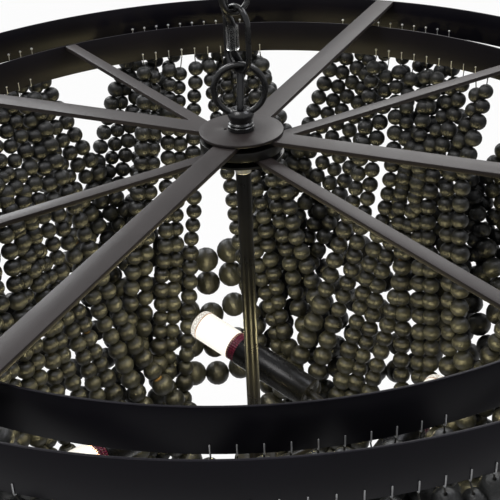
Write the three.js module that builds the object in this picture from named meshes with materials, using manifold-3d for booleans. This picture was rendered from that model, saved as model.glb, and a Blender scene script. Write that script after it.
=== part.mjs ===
// A beaded chandelier. Two black steel bands on flat four-armed spiders carry strands of round wooden
// beads in overlapping swags, an outer row and a longer inner row. A centre rod holds four small lamps
// inside the beads. The whole frame hangs from a ring on three chain links below a ceiling canopy.
// Millimetres, +Z up. The origin is the middle of the ceiling bracket's top face.
import * as THREE from "three";
import { mergeVertices } from "three/addons/utils/BufferGeometryUtils.js";
import Module from "manifold-3d";

const wasm = await Module();
wasm.setup();

const degrees = Math.PI / 180;
const gap = 0.3; // left between two pieces that touch
const slip = 0.6; // left round a curved piece where it passes through a hole
const overrun = 5; // how far a cutting solid runs past what it cuts

// Ceiling end
const bracket = { length: 100, width: 20, thickness: 3, boxSpacing: 50, boxHoleRadius: 2.4 };
const canopy = { radius: 65, depth: 26, wall: 1.5, edgeRadius: 18 };
const canopyScrew = { spacing: 76, headRadius: 4, headHeight: 3, shankRadius: 2 };
const pipe = { radius: 4.8, bore: 3.3 }; // threaded lamp pipe, also the canopy loop's stem
const collar = { radius: 10, height: 12, mouthRadius: 4.6, mouthDepth: 8 };
const canopyRing = { radius: 12, sink: 2 };
const loopNut = { radius: 8.5, thickness: 4 };

// Chain and hub ring
const chain = { wire: 2.3, length: 52.4, width: 27.4, turn: -51.6 * degrees };
const hubRing = { radius: 20.9, wire: 2.6, sink: 4.4 };
const bell = { radius: 11, height: 17.7, neckRadius: 7.6, boreRadius: 4, pipeDepth: 4.7 };

// Hub stack
const disc = { radius: 35, topThickness: 2.5, spacerHeight: 7.9, bottomThickness: 2 };
const spoke = { thickness: 4 };
const nipple = { above: 4, below: 52 };
const rodCollar = { radius: 6.8, height: 17.1 };
const rod = { radius: 6.5, bore: 5.1, bottomDrop: 363.7 };

// Bands
const band = { height: 33, thickness: 2 };
const bandSpacing = 56.5; // between the two bands' radii
const innerBand = { radius: 343.5, spokeWidth: 12, spiderAngle: 31.97 * degrees };
const outerBand = {
  radius: innerBand.radius + bandSpacing,
  spokeWidth: 20,
  spiderAngle: 64.7 * degrees,
};

// Beads: the diameters that one strand uses, from its lowest bead upwards
const beadSizes = [32, 28, 24, 20, 16];
const pin = { length: 6, hookDrop: 3 };
const pinRow = { height: 7, width: 9, bury: 3, strandWidth: 4 };
const strandShare = 0.72; // a square bar of this share of its beads' width has the weight of the beads
const stationShares = [0.03, 0.09, 0.2, 0.5, 1]; // where a strand's solid has its corners, from its middle up

// One row of swags. Each strand's counts say how many beads of each size half of it has, the middle bead
// whole, and its pins are pinPitch apart on the band. Every other swag passes inside its neighbours.
const outerRow = {
  radius: outerBand.radius,
  swags: 10,
  firstAngle: 98.6 * degrees,
  pinPitch: 2.04 * degrees,
  taper: 80,
  inside: { shift: -2.5, step: 0 },
  outside: { shift: 20, step: 1.2 },
  counts: [
    [2, 1, 2, 4, 9],
    [2, 1, 2, 5, 10],
    [2, 2, 2, 5, 11],
    [3, 2, 2, 6, 11],
    [3, 2, 3, 6, 12],
  ],
};
const innerRow = {
  radius: innerBand.radius,
  swags: 8,
  firstAngle: 97 * degrees,
  pinPitch: 2.5 * degrees,
  taper: 136,
  inside: { shift: -29, step: -3.2 },
  outside: { shift: -0.5, step: 0 },
  counts: [
    [3, 2, 4, 6, 11],
    [3, 3, 5, 7, 11],
    [4, 4, 5, 8, 12],
    [4, 4, 6, 9, 13],
    [5, 5, 6, 9, 14],
  ],
};

// Lamps
const lampHub = { radius: 22, height: 32, chamfer: 3, seatDepth: 12, socketDepth: 6 };
const lampArm = { radius: 4.5, wall: 1.2, reach: 60, runIn: 50, startAngle: 20 * degrees };
const lamp = {
  count: 4,
  footRadius: 113.7,
  footAngle: 57.6 * degrees,
  footRise: 15,
  axisAngle: 140.2 * degrees,
  axisRise: 11.5 * degrees,
};
const sleeve = { radius: 17.2, wall: 1.5, length: 95, floor: 2.5 };
const cup = { footRise: 4, rimRadius: 16.6, rimLength: 11, ribDepth: 0.9, ribs: 3 };
const bulb = { radius: 17, length: 54, baseRadius: 12.2, baseLength: 30, tipRadius: 7 };
const finial = { neckRadius: 6, radius: 11, length: 28 };

// Supply cord
const cord = { radius: 3, step: 12 };
const cordSleeve = { wall: 1.6, length: 19, x: -3.72, y: 4.71, bottom: -186 };

// Heights that follow from the sizes above
const collarTop = -canopy.depth - gap;
const collarBottom = collarTop - collar.height;
const canopyRingCentre = collarBottom + canopyRing.sink - canopyRing.radius;
const linkReach = 2 * chain.wire + gap; // from one wire's middle to the next one's
const linkTops = [canopyRingCentre - canopyRing.radius + linkReach];
for (let i = 1; i < 3; i++) linkTops.push(linkTops[i - 1] - chain.length + linkReach);
const lastWire = linkTops[2] - chain.length;
const hubRingTop = lastWire + chain.wire + hubRing.wire + gap;
const bellTop = hubRingTop - 2 * hubRing.radius + hubRing.sink;
const hubTop = bellTop - bell.height - gap;

// Heights below the hub's top face
const upperSpiderTop = -disc.topThickness - gap;
const spacerTop = upperSpiderTop - spoke.thickness - gap;
const lowerSpiderTop = spacerTop - disc.spacerHeight - gap;
const bottomDiscTop = lowerSpiderTop - spoke.thickness - gap;
const rodCollarTop = bottomDiscTop - disc.bottomThickness - gap;
const rodTop = rodCollarTop - rodCollar.height - gap;
const lampHubTop = -rod.bottomDrop - gap + lampHub.seatDepth;
const armHeight = lampHubTop - lampHub.height / 2;
const pipeHole = pipe.radius + gap;

// Facets round each kind of round piece
const facets = { band: 72, disc: 20, pipe: 12, wire: 8, hole: 6, lamp: 12 };

// Steps along each kind of bend
const steps = { canopyEdge: 3, canopyRing: 12, hubRing: 20, linkBend: 6, arm: 12, bulbTip: 2 };

// Looks
const blackSteel = { color: 0x1b1a1c, roughness: 0.45, metalness: 0.7 };
const spokeSteel = { color: 0x3d3836, roughness: 0.55, metalness: 0.5 };
const nickel = { color: 0xb8b3aa, roughness: 0.25, metalness: 1 };
const steel = { color: 0x8a8c90, roughness: 0.4, metalness: 1 };
const blackWood = { color: 0x2b2a27, roughness: 0.6, metalness: 0 };
const blackSleeve = { color: 0x141312, roughness: 0.5, metalness: 0 };
const maroon = { color: 0x5a2420, roughness: 0.4, metalness: 0 };
const glass = { color: 0xfff3dc, roughness: 0.1, metalness: 0, emissive: 0xffe6b8 };
const clear = { color: 0x555a58, roughness: 0.15, metalness: 0 };
const blackCord = { color: 0x121212, roughness: 0.6, metalness: 0 };

const chandelier = new THREE.Group();
const suspended = new THREE.Group(); // the frame below the chain, measured from the hub's top face
suspended.position.z = hubTop;
chandelier.add(suspended);

function place(parent, name, geometry, look) {
  const mesh = new THREE.Mesh(geometry, new THREE.MeshStandardMaterial(look));
  mesh.name = name;
  parent.add(mesh);
  return mesh;
}

// A turned piece round Z. Its profile of [radius, height] points runs upwards on the outside.
function turned(profile, segments) {
  const points = profile.map(([radius, height]) => new THREE.Vector2(radius, height));
  return new THREE.LatheGeometry(points, segments).rotateX(Math.PI / 2);
}

// A plain tube or washer round Z, or a solid cylinder where the bore is 0.
function tube(radius, bore, bottom, top, segments) {
  const profile = [
    [bore, bottom],
    [radius, bottom],
    [radius, top],
    [bore, top],
  ];
  if (bore > 0) profile.push([bore, bottom]);
  return turned(profile, segments);
}

// Points of a quarter arc in a profile, from one angle to another.
function arc(centre, height, radius, from, to, pieces) {
  return Array.from({ length: pieces + 1 }, (unused, i) => {
    const angle = from + ((to - from) * i) / pieces;
    return [centre + radius * Math.cos(angle), height + radius * Math.sin(angle)];
  });
}

function solidOf(geometry) {
  const plain = geometry.clone();
  plain.deleteAttribute("normal");
  plain.deleteAttribute("uv");
  const merged = mergeVertices(plain);
  return new wasm.Manifold(
    new wasm.Mesh({
      numProp: 3,
      vertProperties: merged.attributes.position.array,
      triVerts: new Uint32Array(merged.index.array),
    }),
  );
}

function geometryOf(solid) {
  const { vertProperties, triVerts } = solid.getMesh();
  return new THREE.BufferGeometry()
    .setAttribute("position", new THREE.BufferAttribute(vertProperties, 3))
    .setIndex(new THREE.BufferAttribute(triVerts, 1));
}

const joined = (geometries) => geometries.map(solidOf).reduce((all, next) => all.add(next));

// A bar along a list of points. Each point has its own ring of corners, turned so that a flat side of a
// square bar faces along facing(point). A closed bar joins its last ring to its first.
function bar(points, halfWidths, sides, facing, closed = false) {
  const count = points.length;
  const positions = [];
  const corner = 1 / Math.cos(Math.PI / sides);
  points.forEach((point, i) => {
    const before = points[closed ? (i + count - 1) % count : Math.max(i - 1, 0)];
    const after = points[closed ? (i + 1) % count : Math.min(i + 1, count - 1)];
    const along = after.clone().sub(before).normalize();
    const out = facing(point).clone();
    out.addScaledVector(along, -out.dot(along)).normalize();
    const across = along.clone().cross(out);
    for (let j = 0; j < sides; j++) {
      const angle = ((2 * j + 1) * Math.PI) / sides;
      const radius = halfWidths[i] * corner;
      const rim = point
        .clone()
        .addScaledVector(out, radius * Math.cos(angle))
        .addScaledVector(across, radius * Math.sin(angle));
      positions.push(rim.x, rim.y, rim.z);
    }
  });
  const faces = [];
  for (let i = 0; i < (closed ? count : count - 1); i++) {
    const here = i * sides;
    const next = ((i + 1) % count) * sides;
    for (let j = 0; j < sides; j++) {
      const k = (j + 1) % sides;
      faces.push(here + j, here + k, next + k, here + j, next + k, next + j);
    }
  }
  if (!closed) {
    const last = (count - 1) * sides;
    for (let j = 1; j < sides - 1; j++) faces.push(0, j + 1, j, last, last + j, last + j + 1);
  }
  return new THREE.BufferGeometry()
    .setAttribute("position", new THREE.BufferAttribute(new Float32Array(positions), 3))
    .setIndex(faces);
}

// A hollow or solid round rod along a curve, with flat ends.
function rodAlong(curve, radius, bore, sides, pieces) {
  const outline = new THREE.Shape(roundOutline(radius, sides));
  if (bore > 0) outline.holes.push(new THREE.Path(roundOutline(bore, sides)));
  return new THREE.ExtrudeGeometry(outline, { extrudePath: curve, steps: pieces });
}

function roundOutline(radius, sides) {
  return Array.from({ length: sides }, (unused, i) => {
    const angle = (2 * Math.PI * i) / sides;
    return new THREE.Vector2(radius * Math.cos(angle), radius * Math.sin(angle));
  });
}

// A ring of round wire that stands upright, its middle at the given height.
function uprightRing(radius, wire, height, segments) {
  return new THREE.TorusGeometry(radius, wire, facets.wire, segments)
    .rotateX(Math.PI / 2)
    .translate(0, 0, height);
}

// The bracket, with holes for the loop's stem, the canopy's screws and the screws into the ceiling box.
function bracketPlate() {
  const { length, width, thickness, boxSpacing, boxHoleRadius } = bracket;
  const outline = new THREE.Shape([
    new THREE.Vector2(-length / 2, -width / 2),
    new THREE.Vector2(length / 2, -width / 2),
    new THREE.Vector2(length / 2, width / 2),
    new THREE.Vector2(-length / 2, width / 2),
  ]);
  const holes = [
    [0, pipeHole],
    [-canopyScrew.spacing / 2, canopyScrew.shankRadius + gap],
    [canopyScrew.spacing / 2, canopyScrew.shankRadius + gap],
    [-boxSpacing / 2, boxHoleRadius],
    [boxSpacing / 2, boxHoleRadius],
  ];
  for (const [x, radius] of holes) {
    outline.holes.push(new THREE.Path().absarc(x, 0, radius, 0, 2 * Math.PI, true));
  }
  return new THREE.ExtrudeGeometry(outline, {
    depth: thickness,
    bevelEnabled: false,
    curveSegments: facets.hole,
  }).translate(0, 0, -thickness);
}

// The six-sided nut that locks the loop's stem under the bracket.
function nutSolid() {
  const outline = new THREE.Shape(roundOutline(loopNut.radius, 6));
  outline.holes.push(new THREE.Path().absarc(0, 0, pipeHole, 0, 2 * Math.PI, true));
  return new THREE.ExtrudeGeometry(outline, {
    depth: loopNut.thickness,
    bevelEnabled: false,
    curveSegments: facets.hole,
  }).translate(0, 0, -bracket.thickness - gap - loopNut.thickness);
}

// The thin dish that hides the bracket, open at the ceiling.
function canopyShell() {
  const { radius, depth, wall, edgeRadius } = canopy;
  const flat = radius - edgeRadius;
  const profile = [
    [pipeHole, -depth],
    ...arc(flat, edgeRadius - depth, edgeRadius, -Math.PI / 2, 0, steps.canopyEdge),
    [radius, 0],
    [radius - wall, 0],
    ...arc(flat, edgeRadius - depth, edgeRadius - wall, 0, -Math.PI / 2, steps.canopyEdge),
    [pipeHole, wall - depth],
    [pipeHole, -depth],
  ];
  let shell = solidOf(turned(profile, facets.disc));
  for (const side of [-1, 1]) {
    const hole = tube(canopyScrew.shankRadius + gap, 0, -depth - overrun, -overrun, facets.pipe);
    shell = shell.subtract(solidOf(hole.translate((side * canopyScrew.spacing) / 2, 0, 0)));
  }
  return geometryOf(shell);
}

function canopyScrewSolid() {
  const { headRadius, headHeight, shankRadius } = canopyScrew;
  const headTop = -canopy.depth - gap;
  const profile = [
    [0, headTop - headHeight],
    [headRadius, headTop - headHeight],
    [headRadius, headTop],
    [shankRadius, headTop],
    [shankRadius, -gap],
    [0, -gap],
  ];
  return turned(profile, facets.pipe);
}

// The collar, stem and ring below the canopy are one piece, bored right through for the cord.
function canopyLoopSolid() {
  const mouthTop = collarBottom + collar.mouthDepth;
  const profile = [
    [collar.mouthRadius, collarBottom],
    [collar.radius, collarBottom],
    [collar.radius, collarTop],
    [pipe.radius, collarTop],
    [pipe.radius, -gap],
    [pipe.bore, -gap],
    [pipe.bore, mouthTop],
    [collar.mouthRadius, mouthTop],
    [collar.mouthRadius, collarBottom],
  ];
  const ring = uprightRing(canopyRing.radius, chain.wire, canopyRingCentre, steps.canopyRing);
  const cordWay = tube(collar.mouthRadius, 0, collarBottom - overrun, mouthTop, facets.pipe);
  const body = solidOf(turned(profile, facets.pipe));
  return geometryOf(solidOf(ring).subtract(solidOf(cordWay)).add(body));
}

// One chain link, its top bend at height 0 of its own middle wire, flat in the XZ plane.
function chainLink() {
  const bend = chain.width / 2;
  const points = [];
  for (const [middle, from] of [
    [-bend, 0],
    [bend - chain.length, Math.PI],
  ]) {
    for (let i = 0; i <= steps.linkBend; i++) {
      const angle = from + (Math.PI * i) / steps.linkBend;
      points.push(new THREE.Vector3(bend * Math.cos(angle), 0, middle + bend * Math.sin(angle)));
    }
  }
  const flatWidth = chain.wire * Math.cos(Math.PI / facets.wire);
  const widths = points.map(() => flatWidth);
  return bar(points, widths, facets.wire, () => new THREE.Vector3(0, 1, 0), true);
}

// The ring that the frame hangs by stands on a small turned bell, bored through for the cord.
function hubLoopSolid() {
  const { radius, height, neckRadius, boreRadius, pipeDepth } = bell;
  const ribShares = [0.25, 0.29, 0.37, 0.45]; // where the bell is wide and narrow by turns, from its foot
  const waistShare = 0.91;
  const profile = [
    [pipeHole, gap],
    [radius, gap],
    ...ribShares.map((share, i) => [i % 2 ? waistShare * radius : radius, gap + share * height]),
    [neckRadius, gap + height],
    [boreRadius, gap + height],
    [boreRadius, gap + pipeDepth],
    [pipeHole, gap + pipeDepth],
    [pipeHole, gap],
  ];
  const ringMiddle = gap + height - hubRing.sink + hubRing.radius;
  const ring = uprightRing(hubRing.radius, hubRing.wire, ringMiddle, steps.hubRing);
  const cordWay = tube(boreRadius, 0, 0, gap + height + overrun, facets.pipe);
  const body = solidOf(turned(profile, facets.pipe));
  return geometryOf(solidOf(ring).subtract(solidOf(cordWay)).add(body));
}

// A flat cross with a hole for the pipe, its four ends square against the inside of a band.
function spiderPlate(size) {
  const half = size.spokeWidth / 2;
  const inside = (size.radius - band.thickness / 2) * Math.cos(Math.PI / facets.band) - gap;
  const end = Math.sqrt(inside ** 2 - half ** 2);
  const corners = [];
  for (let i = 0; i < 4; i++) {
    const quarter = (i * Math.PI) / 2;
    for (const [x, y] of [
      [end, -half],
      [end, half],
      [half, half],
    ]) {
      corners.push(new THREE.Vector2(x, y).rotateAround(new THREE.Vector2(), quarter));
    }
  }
  const outline = new THREE.Shape(corners);
  outline.holes.push(new THREE.Path().absarc(0, 0, pipeHole, 0, 2 * Math.PI, true));
  return new THREE.ExtrudeGeometry(outline, {
    depth: spoke.thickness,
    bevelEnabled: false,
    curveSegments: facets.hole,
  });
}

function bandSolid(radius, top) {
  const half = band.thickness / 2;
  return tube(radius + half, radius - half, top - band.height, top, facets.band);
}

// Bead diameters of half a strand, from the middle bead up.
function halfStrand(counts) {
  return counts.flatMap((count, i) => Array.from({ length: count }, () => beadSizes[i]));
}

// Half of a hanging strand as [sideways, up] places of its beads, from the middle of the lowest one to
// the pin. Each bead weighs as its diameter cubed, and a steady sideways pull holds the strand apart.
function hang(beads, halfSpan) {
  const run = (pull) => {
    let across = 0;
    let up = 0;
    let weight = beads[0] ** 3 / 2;
    const places = [[0, 0]];
    beads.forEach((size, i) => {
      const above = i + 1 < beads.length ? beads[i + 1] / 2 : pin.length;
      const slope = Math.atan2(weight, pull);
      across += (size / 2 + above) * Math.cos(slope);
      up += (size / 2 + above) * Math.sin(slope);
      places.push([across, up]);
      weight += (2 * above) ** 3;
    });
    return places;
  };
  const load = beads.reduce((sum, size) => sum + size ** 3, 0);
  const widest = 10000; // the pull lies within this many times the load, either way
  let low = load / widest;
  let high = load * widest;
  for (let i = 0; i < 60; i++) {
    const middle = Math.sqrt(low * high);
    if (run(middle).at(-1)[0] < halfSpan) low = middle;
    else high = middle;
  }
  return run(high);
}

// Where one strand's beads lie, from its left pin round its lowest bead to its right pin.
function strandPlaces(row, top, swag, strand) {
  const step = (2 * Math.PI) / row.swags;
  const centre = row.firstAngle + swag * step;
  const halfAngle = step - row.pinPitch * (row.counts.length - 0.5 - strand);
  const beads = halfStrand(row.counts[strand]);
  const half = hang(beads, row.radius * Math.sin(halfAngle));
  const drop = half.at(-1)[1];
  const side = swag % 2 ? row.outside : row.inside;
  const place = ([across, up], sign) => {
    const depth = Math.min((drop - up) / row.taper, 1);
    const ease = depth * depth * (3 - 2 * depth);
    const out = row.radius * Math.cos(halfAngle) + (side.shift + side.step * strand) * ease;
    const x = out * Math.cos(centre) - sign * across * Math.sin(centre);
    const y = out * Math.sin(centre) + sign * across * Math.cos(centre);
    return new THREE.Vector3(x, y, top - drop + up);
  };
  return { beads, half, place };
}

// The solid of one swag: five strands, and at each side one strip in place of their row of pins.
function swagSolid(row, bandBottom, swag) {
  const outward = (point) => new THREE.Vector3(point.x, point.y, 0);
  const pinTop = bandBottom - gap;
  const strands = [];
  const pins = { left: [], right: [] };
  row.counts.forEach((counts, strand) => {
    const { beads, half, place } = strandPlaces(row, bandBottom - pin.hookDrop, swag, strand);
    const lastBead = beads.length - 1;
    const stations = [...new Set(stationShares.map((share) => Math.round(share * lastBead)))];
    const side = (sign) => stations.map((i) => place(half[i], sign));
    const hook = (sign) => place(half.at(-1), sign).setZ(pinTop - pinRow.bury);
    const widths = stations.map((i) => (strandShare * beads[i]) / 2);
    const points = [hook(-1), ...side(-1).reverse(), ...side(1), hook(1)];
    const end = pinRow.strandWidth / 2;
    strands.push(bar(points, [end, ...widths.toReversed(), ...widths, end], 4, outward));
    pins.left.push(hook(-1));
    pins.right.push(hook(1));
  });
  return geometryOf(joined([...strands, pinStrip(pins.left, pinTop), pinStrip(pins.right, pinTop)]));
}

// A straight strip below the band's edge, from just past the first pin to just past the last one.
function pinStrip(places, top) {
  const first = places[0];
  const along = places.at(-1).clone().sub(first);
  const { height, width } = pinRow;
  return new THREE.BoxGeometry(along.length() + width, width, height)
    .rotateZ(Math.atan2(along.y, along.x))
    .translate(first.x + along.x / 2, first.y + along.y / 2, top - height / 2);
}

// The block that joins the lamp arms to the rod, with a seat for the rod and a socket for each arm.
function lampHubSolid() {
  const { radius, height, chamfer, seatDepth, socketDepth } = lampHub;
  const profile = [
    [0, -height],
    [radius - chamfer, -height],
    [radius, chamfer - height],
    [radius, -chamfer],
    [radius - chamfer, 0],
    [rod.radius + gap, 0],
    [rod.radius + gap, -seatDepth],
    [0, -seatDepth],
  ];
  let block = solidOf(turned(profile, facets.disc));
  for (let i = 0; i < lamp.count; i++) {
    const mouth = radius + overrun;
    const socket = tube(lampArm.radius + slip, 0, radius - socketDepth, mouth, facets.pipe)
      .rotateY(Math.PI / 2)
      .rotateZ(lampArm.startAngle + (2 * Math.PI * i) / lamp.count)
      .translate(0, 0, -height / 2);
    block = block.subtract(solidOf(socket));
  }
  return geometryOf(block);
}

// A lamp arm: straight in the block's socket, a free curve, and straight through the sleeve's floor.
function armSolid() {
  const out = new THREE.Vector3(Math.cos(lampArm.startAngle), Math.sin(lampArm.startAngle), 0);
  const start = out.clone().multiplyScalar(lampHub.radius - lampHub.socketDepth + gap);
  const leave = out.clone().multiplyScalar(lampHub.radius);
  start.z = armHeight;
  leave.z = armHeight;
  const arrive = lampFoot();
  const axis = lampAxis();
  const inside = arrive.clone().addScaledVector(axis, sleeve.floor + cup.footRise - gap);
  const path = new THREE.CurvePath();
  path.add(new THREE.LineCurve3(start, leave));
  path.add(
    new THREE.CubicBezierCurve3(
      leave,
      leave.clone().addScaledVector(out, lampArm.reach),
      arrive.clone().addScaledVector(axis, -lampArm.runIn),
      arrive,
    ),
  );
  path.add(new THREE.LineCurve3(arrive, inside));
  return rodAlong(path, lampArm.radius, lampArm.radius - lampArm.wall, facets.hole, steps.arm);
}

function lampFoot() {
  return new THREE.Vector3(
    lamp.footRadius * Math.cos(lamp.footAngle),
    lamp.footRadius * Math.sin(lamp.footAngle),
    armHeight + lamp.footRise,
  );
}

function lampAxis() {
  const level = Math.cos(lamp.axisRise);
  return new THREE.Vector3(
    level * Math.cos(lamp.axisAngle),
    level * Math.sin(lamp.axisAngle),
    Math.sin(lamp.axisRise),
  );
}

// The sleeve, cup and bulb are turned round the lamp's axis, measured from the sleeve's lower end.
function sleeveSolid() {
  const { radius, wall, length, floor } = sleeve;
  const hole = lampArm.radius + slip;
  const profile = [
    [hole, 0],
    [radius, 0],
    [radius, length],
    [radius - wall, length],
    [radius - wall, floor],
    [hole, floor],
    [hole, 0],
  ];
  return turned(profile, facets.lamp);
}

function cupSolid() {
  const bottom = sleeve.floor + cup.footRise;
  const rimBottom = sleeve.length + gap;
  const rimTop = sleeve.length + cup.rimLength;
  const bore = (bulb.baseRadius + gap) / Math.cos(Math.PI / facets.lamp); // its flats clear the base
  const boreBottom = rimTop - bulb.baseLength - gap;
  const inner = sleeve.radius - sleeve.wall - gap;
  const ribHeight = (rimTop - rimBottom) / (2 * cup.ribs - 1);
  const ribPoints = [];
  for (let i = 0; i < 2 * cup.ribs - 1; i++) {
    const radius = i % 2 ? cup.rimRadius - cup.ribDepth : cup.rimRadius;
    ribPoints.push([radius, rimBottom + i * ribHeight]);
    ribPoints.push([radius, rimBottom + (i + 1) * ribHeight]);
  }
  const profile = [
    [0, bottom],
    [inner, bottom],
    [inner, rimBottom],
    ...ribPoints,
    [bore, rimTop],
    [bore, boreBottom],
    [0, boreBottom],
  ];
  return turned(profile, facets.lamp);
}

function bulbSolid() {
  const seat = sleeve.length + cup.rimLength + gap;
  const top = seat + bulb.length;
  const { radius, tipRadius } = bulb;
  const tip = arc(radius - tipRadius, top - tipRadius, tipRadius, 0, Math.PI / 2, steps.bulbTip);
  const profile = [
    [0, seat - bulb.baseLength],
    [bulb.baseRadius, seat - bulb.baseLength],
    [bulb.baseRadius, seat],
    [radius, seat],
    ...tip,
    [0, top],
  ];
  return turned(profile, facets.lamp);
}

function finialSolid() {
  const { neckRadius, radius, length } = finial;
  const lowShares = { radius: 0.67, height: 0.8 };
  const middleShare = 0.45;
  const neckShare = 0.17;
  const profile = [
    [0, -length],
    [lowShares.radius * radius, -lowShares.height * length],
    [radius, -middleShare * length],
    [neckRadius, -neckShare * length],
    [neckRadius, 0],
    [0, 0],
  ];
  return turned(profile, facets.pipe);
}

// The cord's route, chosen by hand, from the ceiling down: through the canopy loop, beside the links,
// through the lowest link, behind the hub ring, then inside the bell, the pipe and the rod.
const cordRoute = [
  [0, 0, -1],
  [0, 0, -18],
  [0, 0, -36],
  [-1.1, 0.1, -41.5],
  [-6.8, 0.8, -49.5],
  [-8.7, 1, -55],
  [-8.85, 1.03, -62],
  [-8.85, 1.03, -90],
  [-8.85, 1.03, -120],
  [-8.85, 1.03, -146],
  [-8.7, 1.1, -152.5],
  [-5.9, 3, -159.5],
  [-3.72, 4.71, -166],
  [-3.72, 4.71, -172],
  [-3.72, 4.71, -180],
  [-3.72, 4.71, -187],
  [-1.1, 6.8, -193.5],
  [1.15, 8.55, -199],
  [1.15, 8.55, -207],
  [0.8, 6, -217],
  [0.3, 2.1, -227],
  [0, 0, -236],
  [0, 0, -244],
  [0, 0, -260],
  [0, 0, -300],
  [0, 0, -360],
  [0, 0, -420],
  [0, 0, -480],
  [0, 0, -540],
  [0, 0, -590],
  [0, 0, -616],
];

function cordSolid() {
  const points = cordRoute.map((place) => new THREE.Vector3(...place));
  const curve = new THREE.CatmullRomCurve3(points, false, "centripetal");
  curve.arcLengthDivisions = 40 * cordRoute.length;
  const pieces = Math.round(curve.getLength() / cord.step);
  return rodAlong(curve, cord.radius, 0, facets.wire, pieces);
}

// The clear sleeve round the cord, in the middle of the lowest link.
function cordSleeveSolid() {
  const { wall, length, x, y, bottom } = cordSleeve;
  const bore = cord.radius + slip;
  return tube(bore + wall, bore, bottom, bottom + length, facets.pipe).translate(x, y, 0);
}

// Ceiling end and chain
place(chandelier, "ceiling_bracket", bracketPlate(), steel);
place(chandelier, "canopy_dish", canopyShell(), blackSteel);
for (const [side, name] of [
  [-1, "left"],
  [1, "right"],
]) {
  const screw = place(chandelier, "canopy_screw_" + name, canopyScrewSolid(), blackSteel);
  screw.position.x = (side * canopyScrew.spacing) / 2;
}
const loop = place(chandelier, "canopy_loop", canopyLoopSolid(), blackSteel);
loop.rotation.z = chain.turn + Math.PI / 2;
place(chandelier, "loop_nut", nutSolid(), nickel);
["top", "middle", "bottom"].forEach((name, i) => {
  const link = place(chandelier, "chain_link_" + name, chainLink(), blackSteel);
  link.position.z = linkTops[i];
  link.rotation.z = chain.turn + (i % 2) * (Math.PI / 2);
});
place(chandelier, "supply_cord", cordSolid(), blackCord);
place(chandelier, "cord_sleeve", cordSleeveSolid(), clear);

// Hub, spiders and bands
place(suspended, "hub_loop", hubLoopSolid(), blackSteel);
const washer = (bottom, top) => tube(disc.radius, pipeHole, bottom, top, facets.disc);
place(suspended, "hub_top_disc", washer(-disc.topThickness, 0), spokeSteel);
place(suspended, "hub_spacer_disc", washer(spacerTop - disc.spacerHeight, spacerTop), spokeSteel);
const bottomDisc = washer(bottomDiscTop - disc.bottomThickness, bottomDiscTop);
place(suspended, "hub_bottom_disc", bottomDisc, spokeSteel);
for (const [name, size, top] of [
  ["upper_spider", outerBand, upperSpiderTop],
  ["lower_spider", innerBand, lowerSpiderTop],
]) {
  const spider = place(suspended, name, spiderPlate(size), spokeSteel);
  spider.position.z = top - spoke.thickness;
  spider.rotation.z = size.spiderAngle;
}
const nippleTube = tube(pipe.radius, pipe.bore, -nipple.below, nipple.above, facets.pipe);
place(suspended, "hub_nipple", nippleTube, nickel);
const collarTube = tube(rodCollar.radius, pipeHole, rodTop + gap, rodCollarTop, facets.pipe);
place(suspended, "rod_collar", collarTube, nickel);
const rodTube = tube(rod.radius, rod.bore, -rod.bottomDrop, rodTop, facets.pipe);
place(suspended, "centre_rod", rodTube, blackSteel);
place(suspended, "outer_ring", bandSolid(outerBand.radius, upperSpiderTop), blackSteel);
place(suspended, "inner_ring", bandSolid(innerBand.radius, lowerSpiderTop), blackSteel);

// Bead swags
for (const [name, row, bandTop] of [
  ["outer_swag_", outerRow, upperSpiderTop],
  ["inner_swag_", innerRow, lowerSpiderTop],
]) {
  for (let i = 0; i < row.swags; i++) {
    place(suspended, name + (i + 1), swagSolid(row, bandTop - band.height, i), blackWood);
  }
}

// Lamps
place(suspended, "lamp_hub", lampHubSolid(), blackSteel).position.z = lampHubTop;
const finialPiece = place(suspended, "finial", finialSolid(), blackSteel);
finialPiece.position.z = lampHubTop - lampHub.height - gap;
for (let i = 0; i < lamp.count; i++) {
  const quarter = new THREE.Group();
  quarter.rotation.z = (2 * Math.PI * i) / lamp.count;
  suspended.add(quarter);
  place(quarter, "lamp_arm_" + (i + 1), armSolid(), blackSteel);
  const holder = new THREE.Group();
  holder.position.copy(lampFoot());
  holder.quaternion.setFromUnitVectors(new THREE.Vector3(0, 0, 1), lampAxis());
  quarter.add(holder);
  place(holder, "lamp_sleeve_" + (i + 1), sleeveSolid(), blackSleeve);
  place(holder, "socket_cup_" + (i + 1), cupSolid(), maroon);
  place(holder, "bulb_" + (i + 1), bulbSolid(), glass);
}

export default chandelier;
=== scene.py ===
# Beaded chandelier, dressed round its CAD part. The sizes in the dictionaries are millimetres, apart from
# those of the camera, the cord and the studio, which are metres.
import math
import random

import bmesh
import bpy
from mathutils import Matrix, Vector


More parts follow.
